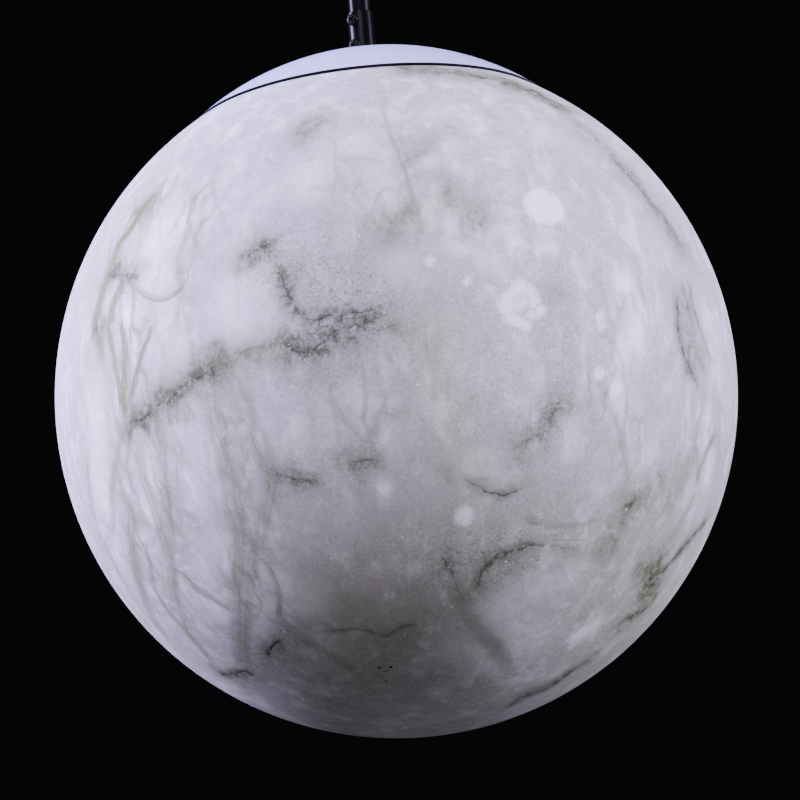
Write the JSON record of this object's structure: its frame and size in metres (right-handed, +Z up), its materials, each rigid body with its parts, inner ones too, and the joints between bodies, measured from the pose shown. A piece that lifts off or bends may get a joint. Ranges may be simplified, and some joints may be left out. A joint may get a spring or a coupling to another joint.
{
  "type": "globe pendant light",
  "caption": "Hollow stone globe hung from a tube on a swivel at the ceiling, closed by a white domed cap that slides up the tube to reach the lamp inside.",
  "frame": {"origin": "on the ceiling, midway between the bracket's two slots", "axes": "+Z up along the stem, -Y towards the picture's viewer, +X to the viewer's right"},
  "size_m": [0.2999, 0.3, 0.5422],
  "materials": {
    "alabaster": "honed, lightly polished",
    "white_lacquer": "satin",
    "black_lacquer": "gloss",
    "black_oxide": "blackened",
    "zinc_plate": "zinc plated",
    "brass": "turned",
    "black_rubber": "matte",
    "phenolic": "moulded",
    "porcelain": "unglazed",
    "terminal_nylon": "moulded",
    "flex_sheath": "extruded",
    "lamp_cap": "rolled",
    "lamp_plastic": "moulded",
    "lamp_opal": "frosted"
  },
  "bodies": {
    "ceiling": {"ceiling_bracket": "zinc_plate", "swivel_bush": "brass", "canopy": "black_lacquer", "canopy_studs": "zinc_plate", "canopy_nuts": "black_lacquer", "terminal_block": "terminal_nylon", "terminal_screws": "brass", "earth_screw": "zinc_plate", "canopy_flex": "flex_sheath"},
    "swivel": {"swivel_fork": "black_lacquer", "swivel_washer": "zinc_plate", "swivel_nut": "zinc_plate", "pivot_screws": "black_oxide"},
    "pendant": {"stem_knuckle": "black_lacquer", "stem_tube": "black_lacquer", "stem_flex": "flex_sheath", "hanger_top_nut": "zinc_plate", "hanger_washer": "zinc_plate", "globe_hanger": "zinc_plate", "hanger_bottom_nut": "zinc_plate", "hanger_pads": "black_rubber", "globe_shade": "alabaster", "lampholder_cap": "phenolic", "lampholder_body": "phenolic", "lampholder_insert": "porcelain", "lampholder_shell": "brass", "lampholder_contact": "brass", "lamp_contact": "lamp_cap", "lamp_base": "lamp_cap", "lamp_housing": "lamp_plastic", "lamp_diffuser": "lamp_opal"},
    "cap": {"globe_cap": "white_lacquer", "cap_gasket": "black_rubber", "cap_sleeve": "black_lacquer", "sleeve_screws": "black_oxide", "sleeve_washer": "zinc_plate", "sleeve_nut": "zinc_plate"}
  },
  "joints": [
    {"name": "swivel_turn", "type": "hinge", "parent": "ceiling", "child": "swivel", "pos_m": [0, 0, 0], "axis": [0, 0, 1], "range_deg": [-170, 170]},
    {"name": "knuckle_tilt", "type": "hinge", "parent": "swivel", "child": "pendant", "pos_m": [0, 0, -0.0602], "axis": [0, 1, 0], "range_deg": [-45, 45]},
    {"name": "cap_lift", "type": "slide", "parent": "pendant", "child": "cap", "axis": [0, 0, 1], "range_m": [0, 0.11]}
  ]
}
